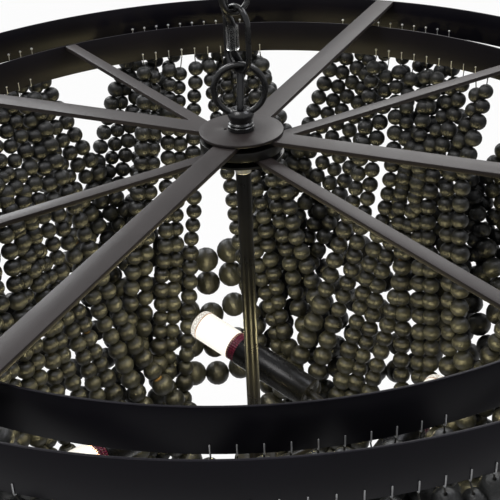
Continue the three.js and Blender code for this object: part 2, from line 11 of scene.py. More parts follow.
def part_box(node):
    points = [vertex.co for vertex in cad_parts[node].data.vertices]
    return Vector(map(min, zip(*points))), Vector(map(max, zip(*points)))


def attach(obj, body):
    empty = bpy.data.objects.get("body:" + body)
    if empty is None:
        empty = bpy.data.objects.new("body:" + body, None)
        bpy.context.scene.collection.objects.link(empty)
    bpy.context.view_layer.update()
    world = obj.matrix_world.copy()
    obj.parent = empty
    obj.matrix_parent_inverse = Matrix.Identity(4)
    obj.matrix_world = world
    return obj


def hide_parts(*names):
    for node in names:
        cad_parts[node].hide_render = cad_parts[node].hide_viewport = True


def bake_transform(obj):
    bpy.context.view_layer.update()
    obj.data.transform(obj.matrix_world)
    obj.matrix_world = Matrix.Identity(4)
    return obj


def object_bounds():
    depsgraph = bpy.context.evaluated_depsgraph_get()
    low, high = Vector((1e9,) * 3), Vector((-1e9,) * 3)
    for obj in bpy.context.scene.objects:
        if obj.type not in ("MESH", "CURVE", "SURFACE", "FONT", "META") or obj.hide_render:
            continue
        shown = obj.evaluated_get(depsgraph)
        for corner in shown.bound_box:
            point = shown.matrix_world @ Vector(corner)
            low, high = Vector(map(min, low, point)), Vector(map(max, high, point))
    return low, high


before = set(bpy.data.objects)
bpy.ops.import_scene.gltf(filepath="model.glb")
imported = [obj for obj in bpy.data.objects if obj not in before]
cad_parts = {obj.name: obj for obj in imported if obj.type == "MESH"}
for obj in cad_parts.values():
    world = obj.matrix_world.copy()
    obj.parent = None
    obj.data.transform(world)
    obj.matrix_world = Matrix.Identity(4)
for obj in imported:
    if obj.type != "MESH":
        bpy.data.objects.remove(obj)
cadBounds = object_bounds()
print("CAD frame loaded:", len(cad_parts), "nodes")
millimetre = 0.001


def addObject(name, data):
    obj = bpy.data.objects.new(name, data)
    bpy.context.scene.collection.objects.link(obj)
    return obj


# The camera, at the photograph's place (metres and degrees).
cameraSettings = {
    "place": (0, -0.76943, 0.07132),
    "pitch": 29.757,
    "yaw": 0.203,
    "roll": -2.553,
    "lens": 72.16,
    "sensor": 36,
    "nearest": 0.01,
}


def makeCamera(settings):
    pitch, yaw, roll = (math.radians(settings[key]) for key in ("pitch", "yaw", "roll"))
    forward = Vector((math.sin(yaw) * math.cos(pitch), math.cos(yaw) * math.cos(pitch), -math.sin(pitch)))
    level = Vector((math.cos(yaw), -math.sin(yaw), 0))
    upright = level.cross(forward)
    right = level * math.cos(roll) + upright * math.sin(roll)
    up = upright * math.cos(roll) - level * math.sin(roll)
    data = bpy.data.cameras.new("camera")
    data.lens = settings["lens"]
    data.sensor_width = settings["sensor"]
    data.clip_start = settings["nearest"]
    obj = addObject("camera", data)
    facing = Matrix((right, up, -forward)).transposed().to_4x4()
    obj.matrix_world = Matrix.Translation(settings["place"]) @ facing
    bpy.context.scene.camera = obj


makeCamera(cameraSettings)
print("camera set")


# Building blocks for the materials. A value is another node's output, a colour or a number.
def fill(tree, node, values):
    for key, value in values.items():
        socket = node.inputs[key]
        if isinstance(value, bpy.types.NodeSocket):
            tree.links.new(value, socket)
        else:
            socket.default_value = (*value, 1) if socket.type == "RGBA" else value
    return node


def addNode(tree, kind, values, **settings):
    node = tree.nodes.new(f"ShaderNode{kind}")
    for name, value in settings.items():
        setattr(node, name, value)
    return fill(tree, node, values)


def startMaterial(name):
    material = bpy.data.materials.new(name)
    material.use_nodes = True
    return material, material.node_tree, material.node_tree.nodes["Principled BSDF"]


def objectPlace(tree, stretch=(1, 1, 1)):
    place = addNode(tree, "TexCoord", {}).outputs["Object"]
    return addNode(tree, "Mapping", {"Vector": place, "Scale": stretch}).outputs["Vector"]


def noise(tree, place, scale, detail=3, roughness=0.5):
    values = {"Vector": place, "Scale": scale, "Detail": detail, "Roughness": roughness}
    return addNode(tree, "TexNoise", values).outputs["Fac"]


def ramp(tree, value, stops):
    node = addNode(tree, "ValToRGB", {"Fac": value})
    elements = node.color_ramp.elements
    while len(elements) < len(stops):
        elements.new(0.5)
    for element, (position, colour) in zip(elements, stops):
        element.position = position
        element.color = (*colour, 1)
    return node.outputs["Color"]


# Noise seldom leaves this part of 0 to 1, so colours and roughness are spread over it.
noiseLow, noiseHigh = 0.3, 0.7


def tint(tree, value, dark, light):
    return ramp(tree, value, [(noiseLow, dark), (noiseHigh, light)])


def spread(tree, value, low, high):
    values = {"Value": value, "From Min": noiseLow, "From Max": noiseHigh, "To Min": low, "To Max": high}
    return addNode(tree, "MapRange", values).outputs["Result"]


def bump(tree, height, strength, distance, under=None):
    node = addNode(tree, "Bump", {"Height": height, "Strength": strength, "Distance": distance})
    if under:
        fill(tree, node, {"Normal": under})
    return node.outputs["Normal"]


def calculate(tree, kind, *values):
    return addNode(tree, "Math", dict(enumerate(values)), operation=kind).outputs["Value"]


def mixColour(tree, share, first, second):
    return addNode(tree, "Mix", {"Factor": share, 6: first, 7: second}, data_type="RGBA").outputs[2]


# The place on a turned piece before it was tilted, as (x, y, z) with its axis along z.
def ownPlace(tree):
    local = addNode(tree, "Attribute", {}, attribute_name="ownPlace").outputs["Vector"]
    return local, addNode(tree, "SeparateXYZ", {"Vector": local}).outputs


# Sprayed or bare metal: a slow drift of colour, a fine skin, and roughness that wanders with them.
def metalFinish(name, look):
    material, tree, shader = startMaterial(name)
    place = objectPlace(tree, look.get("stretch", (1, 1, 1)))
    drift = noise(tree, place, look["driftScale"], detail=4)
    skin = noise(tree, place, look["skinScale"], detail=2)
    fill(tree, shader, {
        "Base Color": tint(tree, drift, look["dark"], look["light"]),
        "Roughness": spread(tree, drift, *look["roughness"]),
        "Normal": bump(tree, skin, look["skin"], distance=0.0003),
        "Metallic": look.get("metallic", 0),
        "Specular IOR Level": look.get("specular", 0.5),
    })
    return material


metalLooks = {
    "satinBlackBand": {
        "dark": (0.0076, 0.0068, 0.0100), "light": (0.0120, 0.0108, 0.0162), "roughness": (0.30, 0.38),
        "specular": 0.14, "driftScale": 9, "skinScale": 900, "skin": 0.1,
    },
    "darkBrownSpoke": {
        "dark": (0.025, 0.0190, 0.0182), "light": (0.041, 0.0325, 0.0310), "roughness": (0.38, 0.52),
        "specular": 0.45, "driftScale": 14, "skinScale": 1100, "skin": 0.3,
    },
    "blackChain": {
        "dark": (0.0032, 0.0032, 0.0038), "light": (0.0075, 0.0072, 0.0085), "roughness": (0.20, 0.32),
        "specular": 0.8, "driftScale": 60, "skinScale": 1500, "skin": 0.2,
    },
    "blackRod": {
        "dark": (0.006, 0.0055, 0.005), "light": (0.012, 0.011, 0.010), "roughness": (0.24, 0.36),
        "driftScale": 25, "skinScale": 1200, "skin": 0.15,
    },
    "brightNickel": {
        "dark": (0.78, 0.78, 0.80), "light": (0.92, 0.92, 0.94), "roughness": (0.30, 0.44), "metallic": 1,
        "driftScale": 120, "skinScale": 2400, "skin": 0.15, "stretch": (1, 1, 0.1),
    },
    "zincSteel": {
        "dark": (0.30, 0.30, 0.31), "light": (0.48, 0.48, 0.49), "roughness": (0.3, 0.5), "metallic": 1,
        "driftScale": 160, "skinScale": 1800, "skin": 0.2,
    },
    "pinWire": {
        "dark": (0.70, 0.70, 0.70), "light": (0.95, 0.95, 0.95), "roughness": (0.15, 0.28), "metallic": 0.3,
        "driftScale": 300, "skinScale": 3000, "skin": 0.1,
    },
    "blackSleeve": {
        "dark": (0.003, 0.003, 0.0036), "light": (0.006, 0.006, 0.007), "roughness": (0.22, 0.32),
        "specular": 0.42, "driftScale": 40, "skinScale": 1600, "skin": 0.2,
    },
    "blackCord": {
        "dark": (0.006, 0.006, 0.007), "light": (0.013, 0.013, 0.015), "roughness": (0.15, 0.26),
        "specular": 0.8, "driftScale": 90, "skinScale": 1400, "skin": 0.3,
    },
    "beadThread": {
        "dark": (0.020, 0.018, 0.014), "light": (0.040, 0.036, 0.028), "roughness": (0.7, 0.85),
        "driftScale": 500, "skinScale": 2600, "skin": 0.5,
    },
}
finishes = {name: metalFinish(name, look) for name, look in metalLooks.items()}


# Stained and waxed wood. The grain runs along each bead's hole, the lathe left fine rings round it, each
# bead has its own tone, and a few show bare wood round one end of the hole. A bead's tone also moves it to
# its own part of the noise, by toneShift.
beadWoodLook = {
    "dark": (0.0068, 0.0070, 0.0072), "middle": (0.0138, 0.0143, 0.0140), "light": (0.030, 0.031, 0.029),
    "stainStops": (0.25, 0.5, 0.75), "bare": (0.42, 0.25, 0.11), "toneShare": 0.42, "toneShift": (37, 11, 23),
    "grainStretch": (5, 5, 0.7), "grainScale": 2.2, "grainBump": (0.2, 0.0004),
    "ringStretch": (0.5, 0.5, 4), "ringScale": 2.4, "ringBump": (0.8, 0.0005),
    "roughness": (0.27, 0.47), "anisotropic": 0.8, "specular": 0.62,
}


def beadWood(look):
    material, tree, shader = startMaterial("stainedBeadWood")
    local, _ = ownPlace(tree)
    tone = addNode(tree, "Attribute", {}, attribute_name="beadTone").outputs["Fac"]
    bare = addNode(tree, "Attribute", {}, attribute_name="beadBare").outputs["Fac"]
    shift = addNode(tree, "VectorMath", {"Vector": look["toneShift"], "Scale": tone}, operation="SCALE")

    def stretched(amount):
        values = {0: local, 1: amount, 2: shift.outputs["Vector"]}
        return addNode(tree, "VectorMath", values, operation="MULTIPLY_ADD").outputs["Vector"]

    grain = noise(tree, stretched(look["grainStretch"]), look["grainScale"], detail=4, roughness=0.6)
    rings = noise(tree, stretched(look["ringStretch"]), look["ringScale"], roughness=0.6)
    level = calculate(tree, "SUBTRACT", grain, look["toneShare"] / 2)
    lift = calculate(tree, "MULTIPLY_ADD", tone, look["toneShare"], level)
    colours = (look["dark"], look["middle"], look["light"])
    stain = ramp(tree, lift, list(zip(look["stainStops"], colours)))
    around = addNode(tree, "Tangent", {}, direction_type="UV_MAP", uv_map="beadTurn")
    fill(tree, shader, {
        "Base Color": mixColour(tree, bare, stain, look["bare"]),
        "Roughness": spread(tree, rings, *look["roughness"]),
        "Normal": bump(tree, rings, *look["ringBump"], bump(tree, grain, *look["grainBump"])),
        "Tangent": around.outputs["Tangent"],
        "Anisotropic": look["anisotropic"],
        "Specular IOR Level": look["specular"],
    })
    return material


# A lit bulb of crackled glass: plain white in the middle, speckled at its rim and over its end, with a thin
# brown line round it where the end begins. The lengths run down from the bulb's tip.
bulbLook = {
    "glow": (1.0, 0.97, 0.88), "strength": 1.15, "line": (0.42, 0.20, 0.09), "lineWidth": 1.0,
    "endLength": 9.5, "endShare": 0.85, "rimBlend": 0.3, "rimPower": 1.5, "crackleScale": 0.34,
    "crackle": [(0.0, (0.30, 0.24, 0.19)), (0.14, (0.72, 0.69, 0.62)), (0.4, (0.90, 0.88, 0.82))],
    "glass": (0.10, 0.10, 0.09), "speckledGlass": (0.02, 0.02, 0.02), "roughness": 0.12,
}


def litGlass(look):
    material, tree, shader = startMaterial("litCrackleGlass")
    local, apart = ownPlace(tree)
    cells = addNode(tree, "TexVoronoi", {}, feature="DISTANCE_TO_EDGE")
    fill(tree, cells, {"Vector": local, "Scale": look["crackleScale"]})
    crackle = ramp(tree, cells.outputs["Distance"], look["crackle"])
    rim = addNode(tree, "LayerWeight", {"Blend": look["rimBlend"]}).outputs["Facing"]
    end = calculate(tree, "GREATER_THAN", apart["Z"], -look["endLength"])
    endShare = calculate(tree, "MULTIPLY", end, look["endShare"])
    share = calculate(tree, "MAXIMUM", endShare, calculate(tree, "POWER", rim, look["rimPower"]))
    away = calculate(tree, "ABSOLUTE", calculate(tree, "ADD", apart["Z"], look["endLength"]))
    line = calculate(tree, "LESS_THAN", away, look["lineWidth"] / 2)
    glow = mixColour(tree, share, look["glow"], crackle)
    fill(tree, shader, {
        "Emission Color": mixColour(tree, line, glow, look["line"]),
        "Emission Strength": look["strength"],
        "Base Color": mixColour(tree, share, look["glass"], look["speckledGlass"]),
        "Roughness": look["roughness"],
    })
    return material


# The moulded socket: flutes that run lengthwise round it, with painted shade in their grooves, and a pale
# edge where the lamp lights it, painted onto the ridges next to the bulb.
socketLook = {
    "dark": (0.10, 0.006, 0.022), "light": (0.26, 0.018, 0.06), "stops": (0.1, 0.5), "driftScale": 0.3,
    "edge": (0.62, 0.42, 0.36), "edgeFrom": -2.2, "flutes": 36, "fluteBump": (0.6, 0.0005),
    "roughness": (0.25, 0.4),
}


def flutedSocket(look):
    material, tree, shader = startMaterial("crimsonSocket")
    local, apart = ownPlace(tree)
    angle = calculate(tree, "ARCTAN2", apart["Y"], apart["X"])
    wave = calculate(tree, "SINE", calculate(tree, "MULTIPLY", angle, look["flutes"]))
    flute = calculate(tree, "MULTIPLY_ADD", wave, 0.5, 0.5)
    drift = noise(tree, local, look["driftScale"])
    colours = list(zip(look["stops"], (look["dark"], look["light"])))
    # The crimson darkens into the flutes' grooves: painted shade, with the drift as the plastic's own uneven
    # tone.
    body = ramp(tree, calculate(tree, "MULTIPLY", flute, drift), colours)
    # The pale edge is painted light from the lamp, on the ridges next to the bulb.
    lit = calculate(tree, "GREATER_THAN", apart["Z"], look["edgeFrom"])
    fill(tree, shader, {
        "Base Color": mixColour(tree, calculate(tree, "MULTIPLY", lit, flute), body, look["edge"]),
        "Roughness": spread(tree, drift, *look["roughness"]),
        "Normal": bump(tree, flute, *look["fluteBump"]),
    })
    return material


plasticLook = {
    "dark": (0.78, 0.80, 0.80), "light": (0.92, 0.93, 0.93), "roughness": (0.05, 0.2), "hazeScale": 180,
    "bending": 1.45,
}


def clearPlastic(look):
    material, tree, shader = startMaterial("clearPlasticSleeve")
    haze = noise(tree, objectPlace(tree), look["hazeScale"])
    fill(tree, shader, {
        "Base Color": tint(tree, haze, look["dark"], look["light"]),
        "Roughness": spread(tree, haze, *look["roughness"]),
        "Transmission Weight": 1,
        "IOR": look["bending"],
    })
    return material


finishes["stainedBeadWood"] = beadWood(beadWoodLook)
finishes["litCrackleGlass"] = litGlass(bulbLook)
finishes["crimsonSocket"] = flutedSocket(socketLook)
finishes["clearPlasticSleeve"] = clearPlastic(plasticLook)
print("materials made:", len(finishes))


def edgesIn(elements):
    return [element for element in elements if isinstance(element, bmesh.types.BMEdge)]


def vertsIn(elements):
    return [element for element in elements if isinstance(element, bmesh.types.BMVert)]


# Rounds the edges where two faces meet at more than the angle.
def roundEdges(bm, width, segments=2, angle=30):
    sharp = [edge for edge in bm.edges if edge.is_manifold and edge.calc_face_angle(0) > math.radians(angle)]
    bmesh.ops.bevel(bm, geom=sharp, offset=width, offset_type="OFFSET", segments=segments, profile=0.5,
                    affect="EDGES", material=-1, clamp_overlap=True)


def meshFrom(bm, name):
    mesh = bpy.data.meshes.new(name)
    bm.to_mesh(mesh)
    bm.free()
    return mesh


# How a piece is finished: metres, finishes, smooth faces, and the body that it rides on.
def finishPiece(name, bm, materials, body, nodes, place=None, smoothAngle=32):
    mesh = meshFrom(bm, name)
    if place is not None:
        mesh.transform(place)
    mesh.transform(Matrix.Scale(millimetre, 4))
    for material in materials:
        mesh.materials.append(finishes[material])
    mesh.shade_smooth()
    mesh.set_sharp_from_angle(angle=math.radians(smoothAngle))
    obj = addObject(name, mesh)
    if body:
        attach(obj, body)
    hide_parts(*nodes)
    return obj


# A profile of (radius, height) points spun round Z. A closed profile makes a bored piece.
def turnedShape(profile, steps=48, closed=False, merge=0.001):
    bm = bmesh.new()
    points = [bm.verts.new((radius, 0, height)) for radius, height in profile]
    pairs = list(zip(points, points[1:]))
    if closed:
        pairs.append((points[-1], points[0]))
    edges = [bm.edges.new(pair) for pair in pairs]
    bmesh.ops.spin(bm, geom=points + edges, cent=(0, 0, 0), axis=(0, 0, 1), angle=2 * math.pi, steps=steps,
                   use_merge=True)
    bmesh.ops.remove_doubles(bm, verts=bm.verts, dist=merge)
    bmesh.ops.recalc_face_normals(bm, faces=bm.faces)
    return bm


def tubeShape(bore, radius, bottom, top, steps=48):
    return turnedShape([(bore, bottom), (radius, bottom), (radius, top), (bore, top)], steps, closed=True)


# Notes each point's own place, measured from the given height, before the piece is tilted.
def noteOwnPlace(bm, height=0):
    layer = bm.verts.layers.float_vector.new("ownPlace")
    for vert in bm.verts:
        vert[layer] = (vert.co.x, vert.co.y, vert.co.z - height)
    return bm


# A flat plate from a radius or a closed outline, with round holes (x, y, radius), its top at height 0.
def platedShape(outline, holes, thickness, edge, roundSteps=96, holeSteps=24):
    bm = bmesh.new()
    if isinstance(outline, (int, float)):
        bmesh.ops.create_circle(bm, cap_ends=False, radius=outline, segments=roundSteps)
    else:
        corners = [bm.verts.new((x, y, 0)) for x, y in outline]
        for first, second in zip(corners, corners[1:] + corners[:1]):
            bm.edges.new((first, second))
    for x, y, radius in holes:
        middle = Matrix.Translation((x, y, 0))
        bmesh.ops.create_circle(bm, cap_ends=False, radius=radius, segments=holeSteps, matrix=middle)
    bmesh.ops.triangle_fill(bm, edges=bm.edges, use_beauty=True, use_dissolve=False, normal=(0, 0, 1))
    lower = vertsIn(bmesh.ops.extrude_face_region(bm, geom=bm.faces[:])["geom"])
    bmesh.ops.translate(bm, verts=lower, vec=(0, 0, -thickness))
    bmesh.ops.recalc_face_normals(bm, faces=bm.faces)
    roundEdges(bm, edge)
    return bm


# Wire along paths. A smoothness of 0 makes its section square, and each step more adds two sides.
def roundWire(paths, radius, smoothness, mergeShare=0.01):
    data = bpy.data.curves.new("wire", "CURVE")
    data.dimensions = "3D"
    data.bevel_depth = radius
    data.bevel_resolution = smoothness
    data.use_fill_caps = True
    for path in paths:
        spline = data.splines.new("POLY")
        spline.points.add(len(path) - 1)
        for point, place in zip(spline.points, path):
            point.co = (*place, 1)
    obj = addObject("wire", data)
    mesh = bpy.data.meshes.new_from_object(obj.evaluated_get(bpy.context.evaluated_depsgraph_get()))
    bpy.data.objects.remove(obj)
    bpy.data.curves.remove(data)
    bm = bmesh.new()
    bm.from_mesh(mesh)
    bpy.data.meshes.remove(mesh)
    bmesh.ops.remove_doubles(bm, verts=bm.verts, dist=radius * mergeShare)
    bmesh.ops.recalc_face_normals(bm, faces=bm.faces)
    return bm


def addShape(bm, other):
    mesh = meshFrom(other, "part")
    bm.from_mesh(mesh)
    bpy.data.meshes.remove(mesh)


# Supply cord (metres): one route from the canopy to the lamp block. It is cut where it lies along a link.
cordSettings = {
    "radius": 0.003,
    "step": 0.0025,
    "smoothness": 4,
    "route": [
        (0, 0, -0.001), (0, 0, -0.018), (0, 0, -0.036), (-0.0011, 0.0001, -0.0415),
        (-0.0068, 0.0008, -0.0495), (-0.0087, 0.001, -0.055), (-0.00885, 0.00103, -0.062),
        (-0.00885, 0.00103, -0.09), (-0.00885, 0.00103, -0.12), (-0.00885, 0.00103, -0.146),
        (-0.0087, 0.0011, -0.1525), (-0.0059, 0.003, -0.1595), (-0.00372, 0.00471, -0.166),
        (-0.00372, 0.00471, -0.172), (-0.00372, 0.00471, -0.18), (-0.00372, 0.00471, -0.187),
        (-0.0011, 0.0068, -0.1935),
        (0.00115, 0.00855, -0.199), (0.00115, 0.00855, -0.207), (0.0008, 0.006, -0.217),
        (0.0003, 0.0021, -0.227), (0, 0, -0.236), (0, 0, -0.244), (0, 0, -0.26), (0, 0, -0.3), (0, 0, -0.36),
        (0, 0, -0.42), (0, 0, -0.48), (0, 0, -0.54), (0, 0, -0.59), (0, 0, -0.616),
    ],
    "cuts": [-0.081, -0.129, -0.176],
    "bends": [(-0.05, -0.072), (-0.097, -0.119), (-0.144, -0.166), (-0.191, -0.214)],
    "bodies": ["ceiling_end", "link_top", "link_middle", "link_bottom", "frame"],
}


# A curve through the route's points whose pace follows their spacing, so that it never loops.
def smoothRoute(route, step):
    points = [Vector(place) for place in route]
    points = [2 * points[0] - points[1]] + points + [2 * points[-1] - points[-2]]
    path = [points[1]]
    for before, start, end, after in zip(points, points[1:], points[2:], points[3:]):
        legs = (start - before, end - start, after - end)
        first, middle, last = (leg.length ** 0.5 for leg in legs)
        leave = (legs[0] / first - (end - before) / (first + middle) + legs[1] / middle) * middle
        arrive = (legs[1] / middle - (after - start) / (middle + last) + legs[2] / last) * middle
        count = max(1, round(legs[1].length / step))
        for i in range(1, count + 1):
            t = i / count
            path.append(
                start * (2 * t ** 3 - 3 * t ** 2 + 1) + leave * (t ** 3 - 2 * t ** 2 + t)
                + end * (3 * t ** 2 - 2 * t ** 3) + arrive * (t ** 3 - t ** 2)
            )
    return path


def makeCord(settings):
    path = smoothRoute(settings["route"], settings["step"])
    whole = roundWire([path], settings["radius"], settings["smoothness"])
    above, below = 1, -1
    limits = [above, *settings["cuts"], below]
    for i, (top, bottom) in enumerate(zip(limits, limits[1:])):
        bm = whole.copy()
        for height, clearTop in ((top, True), (bottom, False)):
            everything = bm.verts[:] + bm.edges[:] + bm.faces[:]
            cut = bmesh.ops.bisect_plane(bm, geom=everything, plane_co=(0, 0, height),
                                         plane_no=(0, 0, 1), clear_outer=clearTop, clear_inner=not clearTop)
            rim = edgesIn(cut["geom_cut"])
            if rim:
                bmesh.ops.edgeloop_fill(bm, edges=rim)
        bmesh.ops.recalc_face_normals(bm, faces=bm.faces)
        bm.transform(Matrix.Scale(1 / millimetre, 4))
        piece = finishPiece(f"cord_stretch_{i + 1}", bm, ["blackCord"], None, ["supply_cord"])
        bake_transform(piece)
    whole.free()


makeCord(cordSettings)
print("cord made")


# Ceiling end and chain.
ceilingSettings = {
    "canopyRadius": 65, "canopyDepth": 26, "canopyWall": 1.5, "canopyEdge": 18, "canopySteps": 96,
    "edgeSteps": 12, "pipeHole": 5.1, "mouthRadius": 4.6, "mouthDepth": 8, "collarRadius": 10,
    "collarHeight": 12, "collarTop": -26.3, "collarFoot": 2, "collarEdge": 0.3, "collarSteps": 40,
    "stemRadius": 4.8, "stemBore": 3.3, "stemTop": -0.3, "ringRadius": 12, "ringSink": 0.1,
}
chainSettings = {
    "wire": 2.3, "length": 52.4, "width": 27.4, "turn": -51.6, "sides": 16, "bendSteps": 16,
    "tops": {"top": -55.4, "middle": -102.9, "bottom": -150.4},
}


def arcPoints(centre, height, radius, start, end, steps):
    turns = [math.radians(start + (end - start) * i / steps) for i in range(steps + 1)]
    return [(centre + radius * math.cos(turn), height + radius * math.sin(turn)) for turn in turns]


def makeCanopy(s):
    flat = s["canopyRadius"] - s["canopyEdge"]
    middle = s["canopyEdge"] - s["canopyDepth"]
    profile = [
        (s["pipeHole"], -s["canopyDepth"]),
        *arcPoints(flat, middle, s["canopyEdge"], -90, 0, s["edgeSteps"]),
        (s["canopyRadius"], 0),
        (s["canopyRadius"] - s["canopyWall"], 0),
        *arcPoints(flat, middle, s["canopyEdge"] - s["canopyWall"], 0, -90, s["edgeSteps"]),
        (s["pipeHole"], s["canopyWall"] - s["canopyDepth"]),
    ]
    bm = turnedShape(profile, s["canopySteps"], closed=True)
    finishPiece("canopy", bm, ["satinBlackBand"], "ceiling_end", ["canopy_dish"])


# A ring of round wire standing upright, its middle at the given height.
def uprightRing(radius, wire, height, steps=48, sides=16):
    bm = bmesh.new()
    section = Matrix.Translation((radius, 0, height))
    bmesh.ops.create_circle(bm, cap_ends=False, radius=wire, segments=sides, matrix=section)
    bmesh.ops.spin(bm, geom=bm.verts[:] + bm.edges[:], cent=(0, 0, height), axis=(0, 1, 0),
                   angle=2 * math.pi, steps=steps, use_merge=True)
    bmesh.ops.recalc_face_normals(bm, faces=bm.faces)
    return bm


def makeCanopyLoop(s, chain):
    radius, foot, top = s["collarRadius"], s["collarFoot"], s["collarTop"]
    bottom = top - s["collarHeight"]
    mouthTop = bottom + s["mouthDepth"]
    profile = [
        (s["mouthRadius"], bottom), (radius - foot, bottom), (radius, bottom + foot), (radius, top),
        (s["stemRadius"], top), (s["stemRadius"], s["stemTop"]), (s["stemBore"], s["stemTop"]),
        (s["stemBore"], mouthTop), (s["mouthRadius"], mouthTop),
    ]
    bm = turnedShape(profile, s["collarSteps"], closed=True)
    roundEdges(bm, s["collarEdge"])
    ring = uprightRing(s["ringRadius"], chain["wire"], bottom + foot - s["ringRadius"])
    everything = ring.verts[:] + ring.edges[:] + ring.faces[:]
    bmesh.ops.bisect_plane(ring, geom=everything, plane_co=(0, 0, bottom + s["ringSink"]),
                           plane_no=(0, 0, 1), clear_outer=True)
    bmesh.ops.holes_fill(ring, edges=ring.edges, sides=0)
    addShape(bm, ring)
    place = Matrix.Rotation(math.radians(chain["turn"] + 90), 4, "Z")
    name = "canopy_collar_and_ring"
    finishPiece(name, bm, ["blackChain"], "ceiling_end", ["canopy_loop"], place)


# One link: half a turn of the wire, a straight side, half a turn back, and the last side bridged.
def linkShape(s):
    bend = s["width"] / 2
    straight = s["length"] - s["width"]
    bm = bmesh.new()

    def halfTurn(verts, edges, height):
        turned = bmesh.ops.spin(bm, geom=verts + edges, cent=(0, 0, height), axis=(0, 1, 0), angle=-math.pi,
                                steps=s["bendSteps"], use_merge=False)
        return edgesIn(turned["geom_last"])

    section = Matrix.Translation((bend, 0, -bend))
    bmesh.ops.create_circle(bm, cap_ends=False, radius=s["wire"], segments=s["sides"], matrix=section)
    firstEdges = bm.edges[:]
    ends = halfTurn(bm.verts[:], firstEdges, -bend)
    side = bmesh.ops.extrude_edge_only(bm, edges=ends)["geom"]
    sideVerts = vertsIn(side)
    bmesh.ops.translate(bm, verts=sideVerts, vec=(0, 0, -straight))
    sideEdges = [edge for edge in edgesIn(side) if all(vert in sideVerts for vert in edge.verts)]
    lastEdges = halfTurn(sideVerts, sideEdges, -bend - straight)
    bmesh.ops.bridge_loops(bm, edges=firstEdges + lastEdges)
    bmesh.ops.recalc_face_normals(bm, faces=bm.faces)
    return bm


def makeChain(s):
    for i, (name, top) in enumerate(s["tops"].items()):
        turn = Matrix.Rotation(math.radians(s["turn"] + 90 * (i % 2)), 4, "Z")
        place = Matrix.Translation((0, 0, top)) @ turn
        body, node = f"link_{name}", f"chain_link_{name}"
        finishPiece(f"link_{name}", linkShape(s), ["blackChain"], body, [node], place)


makeCanopy(ceilingSettings)
makeCanopyLoop(ceilingSettings, chainSettings)
makeChain(chainSettings)
print("ceiling end and chain made")


# Hub: ring and bell, discs, spiders, collar and rod. Heights are measured from the hub's top face, but the
# bell's own from its base. The bell's rim is an arc between its foot and its cup, as arcPoints takes it.
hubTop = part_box("hub_top_disc")[1].z / millimetre
hubPlace = Matrix.Translation((0, 0, hubTop))
hubSettings = {
    "pipeHole": 5.1, "ringRadius": 20.9, "ringWire": 2.6, "ringMiddle": 34.5, "ringSteps": 64,
    "bellBase": 0.3, "bellFoot": ((5.1, 0), (11, 0), (11, 3.4), (9.9, 4.2)),
    "bellRim": (9.9, 5.3, 0.8, -80, 80, 6),
    "bellCup": (
        (9.3, 6.8), (9.2, 7.8), (9.8, 9.4), (10.7, 11.2), (11, 13), (10.6, 14.8), (9.5, 16.3), (8.5, 17.2),
        (7.9, 17.7), (7.1, 17.7), (6, 16.5), (4, 14.5), (4, 4.7), (5.1, 4.7),
    ),
    "discRadius": 35, "discEdge": 0.45, "smallHole": (-13.2, 1.6, 1.3),
    "discs": {
        "top": (0, 2.5, "darkBrownSpoke"),
        "spacer": (-7.1, 7.9, "blackRod"),
        "bottom": (-19.6, 2, "blackRod"),
    },
    "spokeThickness": 4, "spokeEdge": 0.5, "spokeGap": 0.3,
}
tubeSettings = {
    "bright_collar": {
        "size": (5.1, 6.8, -39, -21.9), "edge": 0.6, "edgeSteps": 3, "finish": "brightNickel",
        "node": "rod_collar", "slot": "nickel",
    },
    "rod": {
        "size": (5.1, 6.5, -363.7, -39.3), "edge": 0.3, "edgeSteps": 2, "finish": "blackRod",
        "node": "centre_rod", "slot": "black_steel",
    },
}
bandSettings = {"height": 33, "thickness": 2, "edge": 0.55, "steps": 240}
outerBand = {
    "name": "outer", "radius": 400, "top": -2.8, "spider": "upper_spider", "turn": 64.7, "spokeWidth": 20,
}
innerBand = {
    "name": "inner", "radius": 343.5, "top": -15.3, "spider": "lower_spider", "turn": 31.97, "spokeWidth": 12,
}


# A piece with one finish that rides on the frame in place of one node.
def framePiece(name, bm, finish, node, place=hubPlace):
    finishPiece(name, bm, [finish], "frame", [node], place)


def makeHubLoop(s):
    profile = [*s["bellFoot"], *arcPoints(*s["bellRim"]), *s["bellCup"]]
    bm = turnedShape([(radius, s["bellBase"] + height) for radius, height in profile], closed=True)
    addShape(bm, uprightRing(s["ringRadius"], s["ringWire"], s["ringMiddle"], s["ringSteps"]))
    framePiece("hub_ring_and_bell", bm, "blackChain", "hub_loop")


def makeDiscs(s):
    for name, (top, thickness, finish) in s["discs"].items():
        holes = [(0, 0, s["pipeHole"])]
        if name == "top":
            holes.append(s["smallHole"])
        bm = platedShape(s["discRadius"], holes, thickness, s["discEdge"])
        place = hubPlace @ Matrix.Translation((0, 0, top))
        framePiece(f"{name}_disc", bm, finish, f"hub_{name}_disc", place)


def makeSpider(s, band):
    half = band["spokeWidth"] / 2
    inside = band["radius"] - bandSettings["thickness"] / 2 - s["spokeGap"]
    end = math.sqrt(inside ** 2 - half ** 2)
    corners = []
    for quarter in range(4):
        turn = Matrix.Rotation(math.radians(90 * quarter), 2)
        corners += [tuple(turn @ Vector(corner)) for corner in ((end, -half), (end, half), (half, half))]
    bm = platedShape(corners, [(0, 0, s["pipeHole"])], s["spokeThickness"], s["spokeEdge"])
    turn = Matrix.Rotation(math.radians(band["turn"]), 4, "Z")
    place = hubPlace @ Matrix.Translation((0, 0, band["top"])) @ turn
    framePiece(f"{band['name']}_spokes", bm, "darkBrownSpoke", band["spider"], place)


def makeBand(s, band):
    radius, half = band["radius"], s["thickness"] / 2
    bm = tubeShape(radius - half, radius + half, band["top"] - s["height"], band["top"], s["steps"])
    roundEdges(bm, s["edge"])
    framePiece(f"{band['name']}_band", bm, "satinBlackBand", f"{band['name']}_ring")


def makeTube(name, s):
    bm = tubeShape(*s["size"])
    roundEdges(bm, s["edge"], s["edgeSteps"])
    framePiece(name, bm, s["finish"], s["node"])


